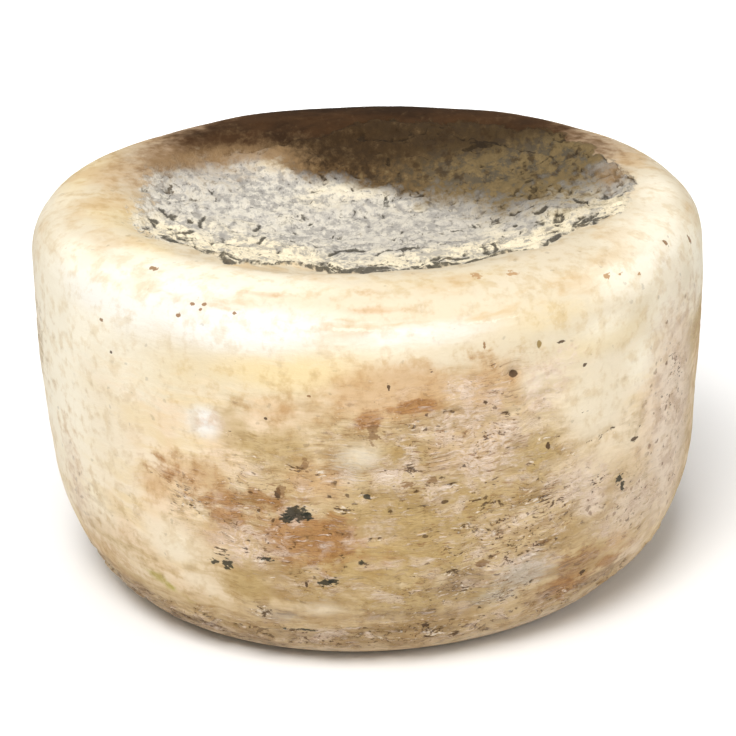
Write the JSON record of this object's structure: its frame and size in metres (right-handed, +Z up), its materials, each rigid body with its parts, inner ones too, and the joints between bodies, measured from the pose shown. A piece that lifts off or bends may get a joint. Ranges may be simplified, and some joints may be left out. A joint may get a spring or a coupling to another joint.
{
  "type": "cheese wheel",
  "caption": "Whole aged cheese wheel with a wide rounded foot, nearly upright sides, a tight shoulder and a sunken mouldy top. It rests on its flat face.",
  "frame": {"origin": "middle of the flat face that the wheel rests on, under the middle of its box", "axes": "+Z up along the wheel's own axis, -Y towards the side that has the brown stain and the dark mould spots"},
  "size_m": [0.2206, 0.2194, 0.1274],
  "materials": {
    "rind": null
  },
  "bodies": {
    "root": {"cheese_wheel": "rind"}
  },
  "joints": []
}
